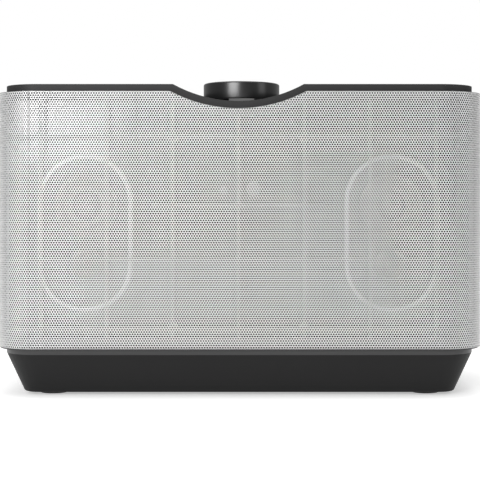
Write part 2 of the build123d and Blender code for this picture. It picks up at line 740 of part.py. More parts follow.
for key_name, point in zip(key_left_names + key_right_names, key_points):
    with BuildPart() as key:
        with BuildSketch(Plane.XY.offset(key_stem_bottom)):
            with Locations(point):
                Circle(key_stem_radius)
        extrude(amount=key_cap_bottom + 0.5 - key_stem_bottom)
        with BuildSketch(Plane.XY.offset(key_cap_bottom)):
            with Locations(point):
                Circle(key_radius)
        extrude(amount=key_top - key_cap_bottom)
        fillet(key.faces().sort_by(Axis.Z)[-1].edges(), 0.5)
    finish(key, key_name)

with BuildPart() as key_switches:
    with BuildSketch(Plane.XY.offset(control_board_top)):
        with Locations(*key_points):
            Rectangle(switch_size, switch_size)
    extrude(amount=switch_height)
finish(key_switches, "key_switches")

with BuildPart() as control_board:
    with BuildSketch(Plane.XY.offset(control_board_bottom)):
        Rectangle(2 * control_board_half_length, 2 * control_board_half_width)
        Circle(bushing_radius + 0.2, mode=Mode.SUBTRACT)
    extrude(amount=board_thickness)
finish(control_board, "control_board")

# ---- back: connector panel and sockets -------------------------------------------------


def rear_sketch_plane(inward):
    """The plane facing backwards, moved in from the rear panel's outside face."""
    return Plane(origin=(0, rear_panel_face - inward, 0), x_dir=(-1, 0, 0), z_dir=(0, 1, 0))


def rear_rectangle(x, size, mode=Mode.ADD):
    """A rectangle at x on the line of the sockets, in a sketch that faces backwards."""
    with Locations((-x, rear_panel_middle)):
        Rectangle(*size, mode=mode)


def rear_stadium(x, size, mode=Mode.ADD):
    """A round-ended slot at x on the line of the sockets, in a sketch that faces backwards."""
    with Locations((-x, rear_panel_middle)):
        SlotOverall(*size, mode=mode)


def socket(x, size, cavity_size, cavity_depth, cavity_shape):
    """A socket's body with its cavity, open to the back."""
    with BuildPart() as body:
        with BuildSketch(rear_sketch_plane(0.1)):
            rear_rectangle(x, size)
        extrude(amount=-(rear_board_reach - 0.15))
        with BuildSketch(rear_sketch_plane(0.1)):
            cavity_shape(x, cavity_size)
        extrude(amount=-cavity_depth, mode=Mode.SUBTRACT)
    return body


sockets = (
    (mains_x, mains_size), (optical_x, optical_size), (aux_x, aux_size), (usb_x, usb_size), (lan_x, lan_size),
)
with BuildPart() as rear_panel:
    with BuildSketch(rear_sketch_plane(0)):
        with Locations((0, rear_panel_middle)):
            Rectangle(rear_panel_width, rear_panel_height)
        for x, size in sockets:
            rear_rectangle(x, (size[0] + 2 * seat_gap, size[1] + 2 * seat_gap), Mode.SUBTRACT)
        with Locations(*rear_screw_points):
            Circle(screw_radius + seat_gap, mode=Mode.SUBTRACT)
    extrude(amount=-rear_panel_thickness)
finish(rear_panel, "rear_panel")

mains_inlet = socket(mains_x, mains_size, mains_cavity, mains_cavity_depth, rear_stadium)
finish(mains_inlet, "mains_inlet")
lan_socket = socket(lan_x, lan_size, lan_cavity, lan_cavity_depth, rear_rectangle)
finish(lan_socket, "lan_socket")
optical_socket = socket(optical_x, optical_size, optical_cavity, optical_cavity_depth, rear_rectangle)
finish(optical_socket, "optical_socket")

with BuildPart() as usb_socket:
    add(socket(usb_x, usb_size, usb_cavity, usb_cavity_depth, rear_rectangle).part)
    with BuildSketch(rear_sketch_plane(1.0)):
        with Locations((-usb_x, rear_panel_middle + usb_cavity[1] / 2 - 0.6 - usb_tongue_thickness / 2)):
            Rectangle(usb_cavity[0] - 1.4, usb_tongue_thickness)
    extrude(amount=-usb_cavity_depth)
finish(usb_socket, "usb_socket")

with BuildPart() as aux_socket:
    with BuildSketch(rear_sketch_plane(0.1)):
        rear_rectangle(aux_x, aux_size)
    extrude(amount=-(rear_board_reach - 0.15))
    with BuildSketch(rear_sketch_plane(0.1)):
        with Locations((-aux_x, rear_panel_middle)):
            Circle(aux_bore_radius)
    extrude(amount=-aux_depth, mode=Mode.SUBTRACT)
finish(aux_socket, "aux_socket")

with BuildPart() as mains_pins:
    with BuildSketch(rear_sketch_plane(0.1 + mains_cavity_depth)):
        with Locations(*[(-mains_x + side * mains_pin_spacing / 2, rear_panel_middle) for side in (-1, 1)]):
            Circle(mains_pin_radius)
    extrude(amount=mains_cavity_depth - 2.0)
finish(mains_pins, "mains_pins")

with BuildPart() as rear_screws:
    with BuildSketch(Plane.XZ.offset(-back + 0.1)):
        with Locations(*rear_screw_points):
            Circle(screw_head_radius)
    extrude(amount=screw_head_height)
    with BuildSketch(Plane.XZ.offset(-back + 0.1)):
        with Locations(*rear_screw_points):
            Circle(screw_radius)
    extrude(amount=screw_length)
finish(rear_screws, "rear_screws")

# ---- electronics -----------------------------------------------------------------------
board_height = 64.0
board_bottom = deck_top + 0.1
board_middle = board_bottom + board_height / 2
main_board_span = (-30.0, 118.0)
power_board_span = (-118.0, -36.0)


def inner_plane(y=board_front):
    """The plane facing forwards at y, where the parts on the boards stand."""
    return Plane.XZ.offset(-y)


for board_name, span in (("main_board", main_board_span), ("power_board", power_board_span)):
    with BuildPart() as board:
        with BuildSketch(inner_plane(board_back)):
            with Locations(((span[0] + span[1]) / 2, board_middle)):
                Rectangle(span[1] - span[0], board_height)
        extrude(amount=board_thickness)
    finish(board, board_name)

sink_width, sink_height, sink_depth, sink_plate, fin_count, fin_width = 46.0, 44.0, 16.0, 3.0, 8, 1.6
sink_x = main_board_span[1] - sink_width / 2 - 8
with BuildPart() as amplifier_heat_sink:
    with BuildSketch(inner_plane()):
        with Locations((sink_x, board_middle)):
            Rectangle(sink_width, sink_height)
    extrude(amount=sink_plate)
    with BuildSketch(inner_plane(board_front - sink_plate)):
        with Locations((sink_x, board_middle)):
            with GridLocations((sink_width - fin_width) / (fin_count - 1), 0, fin_count, 1):
                Rectangle(fin_width, sink_height)
    extrude(amount=sink_depth - sink_plate)
finish(amplifier_heat_sink, "amplifier_heat_sink")

transformer_size, transformer_core, transformer_depth = (36.0, 32.0), (36.0, 14.0), 26.0
transformer_at = (
    power_board_span[0] + transformer_size[0] / 2 + 6, board_bottom + transformer_size[1] / 2 + 4
)
with BuildPart() as transformer:
    with BuildSketch(inner_plane()):
        with Locations(transformer_at):
            Rectangle(transformer_core[0], transformer_core[1])
    extrude(amount=transformer_depth)
    with BuildSketch(inner_plane()):
        with Locations(transformer_at):
            Rectangle(transformer_size[0] - 14, transformer_size[1])
    extrude(amount=transformer_depth - 4)
finish(transformer, "transformer")

capacitor_radius, capacitor_length = 8.0, 25.0
capacitor_row = [(power_board_span[0] + 16 + i * 24, board_bottom + board_height - 11) for i in range(3)]
with BuildPart() as capacitors:
    with BuildSketch(inner_plane()):
        with Locations(*capacitor_row):
            Circle(capacitor_radius)
    extrude(amount=capacitor_length)
    fillet(capacitors.faces().group_by(Axis.Y)[0].edges(), 1.0)
finish(capacitors, "capacitors")

with BuildPart() as wifi_module:
    with BuildSketch(inner_plane()):
        with Locations((main_board_span[0] + 36, board_bottom + board_height - 12)):
            Rectangle(26, 16)
    extrude(amount=1.2)
    with BuildSketch(inner_plane(board_front - 1.2)):
        with Locations((main_board_span[0] + 33, board_bottom + board_height - 12)):
            Rectangle(16, 13)
    extrude(amount=2.0)
finish(wifi_module, "wifi_module")

# Three insulated leads, from the magnets' backs to the main board.
driver_back = driver_face + full_range["depth"] + full_range["magnet_thickness"]
woofer_back = woofer_mouth[2] + woofer["depth"] + woofer["magnet_thickness"]
lead_start, lead_end = driver_back + seat_gap, board_front - seat_gap
lead_end_height = board_bottom + board_height - 6
lead_ends = (-20.0, 52.0, 34.0)
lead_turn, lead_rise = driver_back + lead_first_run, board_front - lead_last_run
lead_routes = [
    [(-pod_x, lead_start, driver_height), (-pod_x, lead_turn, driver_height),
     (lead_ends[0], lead_rise, lead_end_height), (lead_ends[0], lead_end, lead_end_height)],
    [(pod_x, lead_start, driver_height), (pod_x, lead_turn, driver_height),
     (lead_ends[1], lead_rise, lead_end_height), (lead_ends[1], lead_end, lead_end_height)],
    [(0, 0, woofer_back + seat_gap), (0, 0, woofer_back + woofer_lead_rise),
     (lead_ends[2], lead_rise, lead_end_height), (lead_ends[2], lead_end, lead_end_height)],
]
with BuildPart() as speaker_leads:
    for route in lead_routes:
        with BuildLine() as path:
            FilletPolyline(*route, radius=lead_bend)
        with BuildSketch(Plane(origin=path.line @ 0, z_dir=path.line % 0)):
            Circle(lead_radius)
        sweep(path=path.line)
finish(speaker_leads, "speaker_leads")
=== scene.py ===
import json
import math

import bmesh
import bpy
from mathutils import Matrix, Vector


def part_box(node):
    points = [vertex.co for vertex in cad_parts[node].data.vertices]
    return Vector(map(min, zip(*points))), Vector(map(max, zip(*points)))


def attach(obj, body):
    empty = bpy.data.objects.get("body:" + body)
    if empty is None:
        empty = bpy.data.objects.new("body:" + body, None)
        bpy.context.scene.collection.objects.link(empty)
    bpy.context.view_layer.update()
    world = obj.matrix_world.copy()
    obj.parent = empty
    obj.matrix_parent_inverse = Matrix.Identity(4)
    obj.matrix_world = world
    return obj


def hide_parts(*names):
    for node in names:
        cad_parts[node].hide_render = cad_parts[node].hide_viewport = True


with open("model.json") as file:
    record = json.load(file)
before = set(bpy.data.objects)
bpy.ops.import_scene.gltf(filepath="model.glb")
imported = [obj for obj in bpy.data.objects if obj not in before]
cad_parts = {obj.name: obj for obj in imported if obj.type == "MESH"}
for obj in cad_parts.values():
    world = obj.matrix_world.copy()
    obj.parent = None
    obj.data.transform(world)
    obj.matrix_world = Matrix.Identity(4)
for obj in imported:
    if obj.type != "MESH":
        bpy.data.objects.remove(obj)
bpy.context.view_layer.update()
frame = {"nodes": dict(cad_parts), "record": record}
mm = 0.001
print("frame loaded:", len(frame["nodes"]), "CAD nodes")


# shader groups that the finishes share
def newGroup(name, inputs, outputs):
    group = bpy.data.node_groups.new(name, "ShaderNodeTree")
    for label, kind, value in inputs:
        socket = group.interface.new_socket(name=label, in_out="INPUT", socket_type=kind)
        socket.default_value = value
    for label, kind in outputs:
        group.interface.new_socket(name=label, in_out="OUTPUT", socket_type=kind)
    return group, group.nodes.new("NodeGroupInput"), group.nodes.new("NodeGroupOutput")


def mathNode(tree, operation, first, second=None, third=None, clamp=False):
    node = tree.nodes.new("ShaderNodeMath")
    node.operation = operation
    node.use_clamp = clamp
    for index, value in enumerate((first, second, third)):
        if value is None:
            continue
        if isinstance(value, (int, float)):
            node.inputs[index].default_value = value
        else:
            tree.links.new(value, node.inputs[index])
    return node.outputs[0]


def noiseNode(tree, vector, scale, detail=3.0, roughness=0.55):
    node = tree.nodes.new("ShaderNodeTexNoise")
    node.inputs["Detail"].default_value = detail
    node.inputs["Roughness"].default_value = roughness
    tree.links.new(vector, node.inputs["Vector"])
    if isinstance(scale, (int, float)):
        node.inputs["Scale"].default_value = scale
    else:
        tree.links.new(scale, node.inputs["Scale"])
    return node.outputs["Fac"]


def buildGrainGroup():
    # fine moulded or sprayed grain: a height, and a roughness that wanders between two values
    group, start, end = newGroup(
        "surfaceGrain",
        [("Grain Scale", "NodeSocketFloat", 2200.0), ("Drift Scale", "NodeSocketFloat", 40.0),
         ("Smoothest", "NodeSocketFloat", 0.3), ("Roughest", "NodeSocketFloat", 0.45)],
        [("Height", "NodeSocketFloat"), ("Roughness", "NodeSocketFloat")],
    )
    place = group.nodes.new("ShaderNodeTexCoord").outputs["Object"]
    grain = noiseNode(group, place, start.outputs["Grain Scale"], 2.0, 0.6)
    drift = noiseNode(group, place, start.outputs["Drift Scale"], 4.0, 0.6)
    mixed = mathNode(group, "MULTIPLY_ADD", grain, 0.35, mathNode(group, "MULTIPLY", drift, 0.65))
    span = mathNode(group, "SUBTRACT", start.outputs["Roughest"], start.outputs["Smoothest"])
    rough = mathNode(group, "MULTIPLY_ADD", mixed, span, start.outputs["Smoothest"], clamp=True)
    group.links.new(grain, end.inputs["Height"])
    group.links.new(rough, end.inputs["Roughness"])
    return group


def buildDriftGroup():
    # slow colour change over a surface, with a little dust that settles on faces that look up
    group, start, end = newGroup(
        "colourDrift",
        [("Color", "NodeSocketColor", (0.5, 0.5, 0.5, 1)), ("Amount", "NodeSocketFloat", 0.08),
         ("Scale", "NodeSocketFloat", 25.0), ("Dust", "NodeSocketFloat", 0.03)],
        [("Color", "NodeSocketColor")],
    )
    place = group.nodes.new("ShaderNodeTexCoord").outputs["Object"]
    drift = noiseNode(group, place, start.outputs["Scale"], 5.0, 0.6)
    centred = mathNode(group, "SUBTRACT", drift, 0.5)
    swing = mathNode(group, "MULTIPLY", centred, 2.0)
    gain = mathNode(group, "MULTIPLY_ADD", swing, start.outputs["Amount"], 1.0)
    shade = group.nodes.new("ShaderNodeVectorMath")
    shade.operation = "SCALE"
    group.links.new(start.outputs["Color"], shade.inputs[0])
    group.links.new(gain, shade.inputs["Scale"])
    normal = group.nodes.new("ShaderNodeNewGeometry").outputs["Normal"]
    split = group.nodes.new("ShaderNodeSeparateXYZ")
    group.links.new(normal, split.inputs[0])
    speck = noiseNode(group, place, 900.0, 2.0, 0.7)
    upward = mathNode(group, "MULTIPLY", split.outputs["Z"], speck, clamp=True)
    dust = mathNode(group, "MULTIPLY", upward, start.outputs["Dust"], clamp=True)
    mix = group.nodes.new("ShaderNodeMix")
    mix.data_type = "RGBA"
    group.links.new(dust, mix.inputs["Factor"])
    group.links.new(shade.outputs[0], mix.inputs["A"])
    mix.inputs["B"].default_value = (0.45, 0.44, 0.42, 1)
    group.links.new(mix.outputs["Result"], end.inputs["Color"])
    return group


def buildBrushGroup():
    # long scratches along one axis, for brushed or drawn metal
    group, start, end = newGroup(
        "brushLines",
        [("Along", "NodeSocketVector", (8.0, 900.0, 900.0)), ("Smoothest", "NodeSocketFloat", 0.25),
         ("Roughest", "NodeSocketFloat", 0.4)],
        [("Height", "NodeSocketFloat"), ("Roughness", "NodeSocketFloat")],
    )
    place = group.nodes.new("ShaderNodeTexCoord").outputs["Object"]
    stretch = group.nodes.new("ShaderNodeVectorMath")
    stretch.operation = "MULTIPLY"
    group.links.new(place, stretch.inputs[0])
    group.links.new(start.outputs["Along"], stretch.inputs[1])
    lines = noiseNode(group, stretch.outputs[0], 1.0, 3.0, 0.65)
    span = mathNode(group, "SUBTRACT", start.outputs["Roughest"], start.outputs["Smoothest"])
    rough = mathNode(group, "MULTIPLY_ADD", lines, span, start.outputs["Smoothest"], clamp=True)
    group.links.new(lines, end.inputs["Height"])
    group.links.new(rough, end.inputs["Roughness"])
    return group


grainGroup = buildGrainGroup()
driftGroup = buildDriftGroup()
brushGroup = buildBrushGroup()


def useGroup(tree, group, values):
    node = tree.nodes.new("ShaderNodeGroup")
    node.node_tree = group
    for label, value in values.items():
        node.inputs[label].default_value = value
    return node


def surface(name, finish):
    # one procedural finish: colour drift, roughness from grain or brush lines, and a fine bump
    made = bpy.data.materials.new(name)
    made.use_nodes = True
    tree = made.node_tree
    shader = tree.nodes["Principled BSDF"]
    colour = useGroup(tree, driftGroup, {
        "Color": (*finish["colour"], 1), "Amount": finish.get("drift", 0.06),
        "Scale": finish.get("driftScale", 25.0), "Dust": finish.get("dust", 0.02)})
    tree.links.new(colour.outputs["Color"], shader.inputs["Base Color"])
    smoothest, roughest = finish["roughness"]
    if "brushed" in finish:
        skin = useGroup(tree, brushGroup, {
            "Along": finish["brushed"], "Smoothest": smoothest, "Roughest": roughest})
    else:
        skin = useGroup(tree, grainGroup, {
            "Grain Scale": finish.get("grain", 2200.0), "Drift Scale": 40.0,
            "Smoothest": smoothest, "Roughest": roughest})
    tree.links.new(skin.outputs["Roughness"], shader.inputs["Roughness"])
    if finish.get("bump", 0.0) > 0:
        bump = tree.nodes.new("ShaderNodeBump")
        bump.inputs["Strength"].default_value = finish["bump"]
        bump.inputs["Distance"].default_value = finish.get("bumpDepth", 0.05) * mm
        tree.links.new(skin.outputs["Height"], bump.inputs["Height"])
        tree.links.new(bump.outputs["Normal"], shader.inputs["Normal"])
    for label, value in finish.get("plain", {}).items():
        shader.inputs[label].default_value = value
    return made


# each finish: base colour, smoothest and roughest, then grain or brush lines, bump, drift and dust
finishes = {
    "sleeveSilver": {"colour": (0.76, 0.76, 0.76), "roughness": (0.3, 0.42), "grain": 3000.0,
                     "bump": 0.08, "drift": 0.015, "dust": 0.0, "plain": {"Metallic": 0.75}},
    # the hem's darker copy of the sleeve's silver is painted shade
    "sleeveHemPaintedShade": {"colour": (0.3, 0.3, 0.3), "roughness": (0.4, 0.5), "grain": 3000.0, "bump": 0.08,
                   "drift": 0.015, "dust": 0.0, "plain": {"Metallic": 0.7}},
    "panelCharcoal": {"colour": (0.014, 0.014, 0.0143), "roughness": (0.48, 0.6), "grain": 2600.0,
                      "bump": 0.25, "drift": 0.05, "dust": 0.02, "plain": {"Specular IOR Level": 0.38}},
    "cabinetBlack": {"colour": (0.03, 0.03, 0.032), "roughness": (0.45, 0.62), "grain": 1500.0,
                     "bump": 0.6, "drift": 0.08, "dust": 0.03},
    "baseBlack": {"colour": (0.0085, 0.0085, 0.0087), "roughness": (0.45, 0.6), "grain": 2200.0,
                  "bump": 0.35, "drift": 0.05, "dust": 0.0, "plain": {"Specular IOR Level": 0.2}},
    # a lighter copy of the base's black for its upright rim: painted light
    "baseRimPaintedLight": {"colour": (0.024, 0.024, 0.0245), "roughness": (0.3, 0.4), "grain": 2200.0, "bump": 0.2,
                "drift": 0.05, "dust": 0.0},
    "frameBlack": {"colour": (0.02, 0.02, 0.0205), "roughness": (0.5, 0.65), "grain": 1800.0,
                   "bump": 0.5, "drift": 0.06},
    "ribGrey": {"colour": (0.055, 0.055, 0.056), "roughness": (0.4, 0.55), "grain": 1800.0, "bump": 0.4,
                "drift": 0.06},
    "baffleGloss": {"colour": (0.012, 0.012, 0.0125), "roughness": (0.12, 0.2), "grain": 900.0,
                    "drift": 0.04, "plain": {"Coat Weight": 0.6, "Coat Roughness": 0.06}},
    "podGloss": {"colour": (0.012, 0.012, 0.0125), "roughness": (0.1, 0.17), "grain": 900.0,
                 "drift": 0.04, "plain": {"Coat Weight": 0.8, "Coat Roughness": 0.05}},
    "knobGloss": {"colour": (0.004, 0.004, 0.0042), "roughness": (0.27, 0.33), "grain": 700.0,
                  "bump": 0.03, "drift": 0.04, "dust": 0.01,
                  "plain": {"Coat Weight": 0.9, "Coat Roughness": 0.25}},
    # the light ring glows faintly: a painted glow that lifts it out of the shade under the knob
    "lightGuidePaintedGlow": {"colour": (0.55, 0.56, 0.57), "roughness": (0.25, 0.35), "grain": 1200.0,
                   "bump": 0.05, "drift": 0.03,
                   "plain": {"Emission Color": (1, 1, 1, 1), "Emission Strength": 0.13}},
    "keyGloss": {"colour": (0.018, 0.018, 0.019), "roughness": (0.22, 0.32), "grain": 1500.0,
                 "bump": 0.1, "drift": 0.05},
    "coneAlloy": {"colour": (0.055, 0.056, 0.06), "roughness": (0.3, 0.42), "grain": 2500.0,
                  "bump": 0.15, "drift": 0.05, "plain": {"Metallic": 0.6}},
    "capGloss": {"colour": (0.02, 0.02, 0.021), "roughness": (0.1, 0.14), "grain": 1500.0,
                 "drift": 0.05, "plain": {"Coat Weight": 1.0, "Coat Roughness": 0.06}},
    # a light metallic grey for the pods' beads: a painted highlight on the glossy black pod
    "podRimPaintedHighlight": {"colour": (0.36, 0.36, 0.37), "roughness": (0.2, 0.3), "grain": 900.0, "drift": 0.04,
                  "plain": {"Metallic": 0.6}},
    "conePulp": {"colour": (0.035, 0.035, 0.036), "roughness": (0.7, 0.9), "grain": 700.0, "bump": 0.8,
                 "bumpDepth": 0.15, "drift": 0.15},
    "surroundRubber": {"colour": (0.022, 0.022, 0.023), "roughness": (0.5, 0.65), "grain": 1600.0,
                       "bump": 0.3, "drift": 0.1},
    "footRubber": {"colour": (0.03, 0.03, 0.03), "roughness": (0.7, 0.85), "grain": 1300.0, "bump": 0.6,
                   "drift": 0.12},
    "basketPaint": {"colour": (0.04, 0.04, 0.042), "roughness": (0.4, 0.55), "grain": 1800.0,
                    "bump": 0.3},
    "magnetFerrite": {"colour": (0.06, 0.06, 0.065), "roughness": (0.5, 0.7), "grain": 1100.0,
                      "bump": 0.4, "drift": 0.15},
    "screwZinc": {"colour": (0.55, 0.55, 0.54), "roughness": (0.25, 0.4),
                  "brushed": (900.0, 900.0, 60.0), "bump": 0.1, "plain": {"Metallic": 1.0}},
    "boardResist": {"colour": (0.01, 0.035, 0.02), "roughness": (0.3, 0.45), "grain": 900.0,
                    "bump": 0.3, "drift": 0.2, "driftScale": 300.0},
    "sinkAlloy": {"colour": (0.05, 0.05, 0.052), "roughness": (0.4, 0.55),
                  "brushed": (900.0, 900.0, 12.0), "bump": 0.3, "plain": {"Metallic": 1.0}},
    "coreAndTape": {"colour": (0.09, 0.07, 0.035), "roughness": (0.45, 0.6),
                    "brushed": (30.0, 1200.0, 30.0), "bump": 0.4, "drift": 0.2},
    "capacitorSleeve": {"colour": (0.02, 0.025, 0.07), "roughness": (0.2, 0.3), "grain": 900.0,
                        "bump": 0.1},
    "shieldTin": {"colour": (0.6, 0.6, 0.58), "roughness": (0.3, 0.45), "brushed": (20.0, 900.0, 900.0),
                  "bump": 0.2, "plain": {"Metallic": 1.0}},
    "socketBlack": {"colour": (0.02, 0.02, 0.021), "roughness": (0.35, 0.5), "grain": 2000.0,
                    "bump": 0.25},
    "socketPlate": {"colour": (0.62, 0.62, 0.6), "roughness": (0.2, 0.32),
                    "brushed": (20.0, 900.0, 900.0), "bump": 0.15, "plain": {"Metallic": 1.0}},
    "pinBrass": {"colour": (0.72, 0.68, 0.55), "roughness": (0.15, 0.28),
                 "brushed": (900.0, 20.0, 900.0), "bump": 0.1, "plain": {"Metallic": 1.0}},
    "leadJacket": {"colour": (0.22, 0.015, 0.015), "roughness": (0.35, 0.5), "grain": 1200.0,
                   "bump": 0.15},
}
materials = {name: surface(name, finish) for name, finish in finishes.items()}


def windowGlass(name, colour, rough):
    made = bpy.data.materials.new(name)
    made.use_nodes = True
    tree = made.node_tree
    shader = tree.nodes["Principled BSDF"]
    tint = useGroup(tree, driftGroup, {"Color": (*colour, 1), "Amount": 0.05, "Scale": 60.0, "Dust": 0.0})
    tree.links.new(tint.outputs["Color"], shader.inputs["Base Color"])
    skin = useGroup(tree, grainGroup, {"Grain Scale": 900.0, "Smoothest": rough, "Roughest": rough + 0.06})
    tree.links.new(skin.outputs["Roughness"], shader.inputs["Roughness"])
    shader.inputs["Coat Weight"].default_value = 0.6
    return made


materials["sensorSmoke"] = windowGlass("sensorSmoke", (0.15, 0.15, 0.155), 0.14)
materials["statusLens"] = windowGlass("statusLens", (0.10, 0.10, 0.105), 0.2)
print("finishes made:", len(materials))

# which CAD nodes take which finish
finishNodes = {
    "cabinetBlack": ["cabinet_shell", "rear_panel"],
    "baseBlack": ["base_shell"],
    "frameBlack": ["bottom_deck", "left_port_tube", "right_port_tube"],
    "ribGrey": ["grille_frame"],
    "baffleGloss": ["front_baffle"],
    "podGloss": ["left_pod", "right_pod"],
    "panelCharcoal": ["top_panel"],
    "sleeveSilver": ["front_grille"],
    "knobGloss": ["knob"],
    "lightGuidePaintedGlow": ["light_ring"],
    "sensorSmoke": ["sensor_window"],
    "statusLens": ["status_light"],
    "footRubber": ["rubber_feet"],
    "coneAlloy": ["left_driver_cone", "right_driver_cone"],
    "capGloss": ["left_driver_dust_cap", "right_driver_dust_cap"],
    "conePulp": ["woofer_cone", "woofer_dust_cap"],
    "surroundRubber": ["left_driver_surround", "right_driver_surround", "woofer_surround"],
    "basketPaint": ["left_driver_basket", "right_driver_basket", "woofer_basket"],
    "magnetFerrite": ["left_driver_magnet", "right_driver_magnet", "woofer_magnet"],
    "screwZinc": ["base_screws", "rear_screws", "driver_screws"],
    "boardResist": ["main_board", "power_board", "control_board"],
    "sinkAlloy": ["amplifier_heat_sink"],
    "coreAndTape": ["transformer"],
    "capacitorSleeve": ["capacitors"],
    "shieldTin": ["wifi_module", "encoder_body", "encoder_shaft", "encoder_plunger"],
    "socketBlack": ["mains_inlet", "optical_socket", "aux_socket", "key_switches"],
    "socketPlate": ["lan_socket", "usb_socket"],
    "pinBrass": ["mains_pins"],
    "leadJacket": ["speaker_leads"],
    "keyGloss": ["power_key", "input_key", "pairing_key", "previous_key", "play_key", "next_key"],
}
nodeFinish = {node: finish for finish, nodes in finishNodes.items() for node in nodes}
nodeBody = {node: body for body, nodes in frame["record"]["behaviour"]["bodies"].items() for node in nodes}
for node, thing in frame["nodes"].items():
    thing.data.materials.clear()
    thing.data.materials.append(materials[nodeFinish[node]])


def addPiece(name, mesh, node, finish, replaced=True, creaseAngle=30.0):
    # a finished piece: it rides with the CAD node's body and hides that node when it replaces it
    mesh.materials.clear()
    mesh.materials.append(materials[finish])
    mesh.shade_smooth()
    mesh.set_sharp_from_angle(angle=math.radians(creaseAngle))
    piece = bpy.data.objects.new(name, mesh)
    bpy.context.scene.collection.objects.link(piece)
    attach(piece, nodeBody[node])
    if replaced:
        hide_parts(node)
    return piece


# moulded and machined pieces keep the CAD shape and get broken edges, in mm
softEdges = {
    "top_panel": 0.5, "base_shell": 0.3, "cabinet_shell": 0.35, "bottom_deck": 0.4, "left_pod": 0.25,
    "right_pod": 0.25, "rear_panel": 0.2, "light_ring": 0.9, "mains_inlet": 0.25, "lan_socket": 0.2,
    "optical_socket": 0.2, "usb_socket": 0.15, "aux_socket": 0.2,
}
edgeAngle = 35.0   # a sharper turn than this, in degrees, is an edge to break


def breakEdges(node, width, name):
    bm = bmesh.new()
    bm.from_mesh(frame["nodes"][node].data)
    bmesh.ops.remove_doubles(bm, verts=bm.verts, dist=0.00001)
    bmesh.ops.dissolve_limit(bm, angle_limit=math.radians(0.5), verts=bm.verts, edges=bm.edges)
    sharp = [e for e in bm.edges if len(e.link_faces) == 2 and e.calc_face_angle() > math.radians(edgeAngle)]
    bmesh.ops.bevel(bm, geom=sharp, offset=width * mm, offset_type="OFFSET", segments=2, profile=0.5,
                    affect="EDGES", material=-1, clamp_overlap=True)
    mesh = bpy.data.meshes.new(name)
    bm.to_mesh(mesh)
    bm.free()
    piece = addPiece(name, mesh, node, nodeFinish[node])
    flat = piece.modifiers.new("flatFaces", "WEIGHTED_NORMAL")   # wide faces stay flat beside a rounded edge
    flat.keep_sharp = True
    flat.weight = 100
    return piece


# the perforated sleeve, in mm
sleeve = {
    "holePitch": 1.717,      # along a row
    "holeShare": 0.75,       # hole's width over the pitch
    "gauge": 0.5,
    "rim": 0.35,             # plain band left along the edges
    "cornerRadius": 28.0,
    "dipDepth": 11.3,        # the dip in the top panel, which the sleeve's top edge follows
    "dipHalfWidth": 43.8,
    "dipGap": 0.1,           # between the sleeve's edge and the panel's underside
    "firstRow": 0.75,        # where the lowest row of holes stands, in rows above the edge
    "strips": 8,             # pieces that the sheet is divided into
    "hemSteps": 420,         # straight runs along each hem
}
low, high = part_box("front_grille")
halfWidth, frontY, endY = high.x, low.y, high.y
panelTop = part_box("top_panel")[1].z
dipDepth = sleeve["dipDepth"] * mm
dipHalfWidth = sleeve["dipHalfWidth"] * mm
dipRadius = (dipHalfWidth ** 2 + dipDepth ** 2) / (2 * dipDepth)
dipAxis = panelTop - dipDepth + dipRadius
panelBand = panelTop - high.z
sleeveDip = dipRadius + panelBand + sleeve["dipGap"] * mm

corner = sleeve["cornerRadius"] * mm
flatHalf = halfWidth - corner
arcLength = corner * math.pi / 2
sideLength = endY - (frontY + corner)
halfLength = flatHalf + arcLength + sideLength


def wrapPoint(along, inward=0.0):
    # the plan point at a distance along the sleeve from the middle of its front
    side = 1 if along >= 0 else -1
    run = abs(along)
    if run <= flatHalf:
        return Vector((side * run, frontY + inward))
    if run <= flatHalf + arcLength:
        turn = (run - flatHalf) / corner
        reach = corner - inward
        return Vector((side * (flatHalf + reach * math.sin(turn)), frontY + corner - reach * math.cos(turn)))
    return Vector((side * (halfWidth - inward), frontY + corner + run - flatHalf - arcLength))


def topEdge(along):
    # height of the sleeve's top edge, which follows the dip in the middle
    if abs(along) < sleeveDip:
        arc = dipAxis - math.sqrt(sleeveDip ** 2 - along ** 2)
        return min(high.z, arc)
    return high.z


def hexCell(bm, place, pitch):
    # one hexagon with its hole
    cell = bmesh.ops.create_circle(bm, cap_ends=True, segments=6, radius=pitch / math.sqrt(3))
    bmesh.ops.translate(bm, verts=cell["verts"], vec=place)
    face = cell["verts"][0].link_faces[0]
    shrink = (1 - sleeve["holeShare"]) * pitch / 2
    bmesh.ops.inset_individual(bm, faces=[face], thickness=shrink, use_even_offset=True)
    bmesh.ops.delete(bm, geom=[face], context="FACES_ONLY")


def copyFaces(bm, faces, step):
    copy = bmesh.ops.duplicate(bm, geom=faces)
    verts = [v for v in copy["geom"] if isinstance(v, bmesh.types.BMVert)]
    bmesh.ops.translate(bm, verts=verts, vec=step)


def repeat(bm, count, axis, first, step, margin):
    # doubles what is there until it stands count times, a step apart along x (0) or y (1)
    made = 1
    while made < count:
        more = min(made, count - made)
        limit = first + more * step - margin
        move = Vector((0, 0, 0))
        move[axis] = made * step
        copyFaces(bm, [f for f in bm.faces if f.calc_center_median()[axis] < limit], move)
        made += more
    bmesh.ops.remove_doubles(bm, verts=bm.verts, dist=sleeve["holePitch"] * mm * 0.02)


def trimStrip(bm):
    # cuts the flat sheet to the sleeve's height, and to the dip in the middle
    rim = sleeve["rim"] * mm
    for edge, side in ((low.z + rim / 2, -1), (high.z - rim / 2, 1)):
        bmesh.ops.bisect_plane(bm, geom=list(bm.verts) + list(bm.edges) + list(bm.faces),
                               plane_co=(0, edge, 0), plane_no=(0, side, 0), clear_outer=True)
    past = [f for f in bm.faces if min(v.co.y - topEdge(v.co.x) for v in f.verts) > -rim / 2]
    bmesh.ops.delete(bm, geom=past, context="FACES")
    for v in bm.verts:
        v.co.y = min(v.co.y, topEdge(v.co.x) - rim / 2)
        v.co.x = max(-halfLength, min(halfLength, v.co.x))
    bmesh.ops.dissolve_degenerate(bm, edges=bm.edges, dist=sleeve["holePitch"] * mm * 0.01)


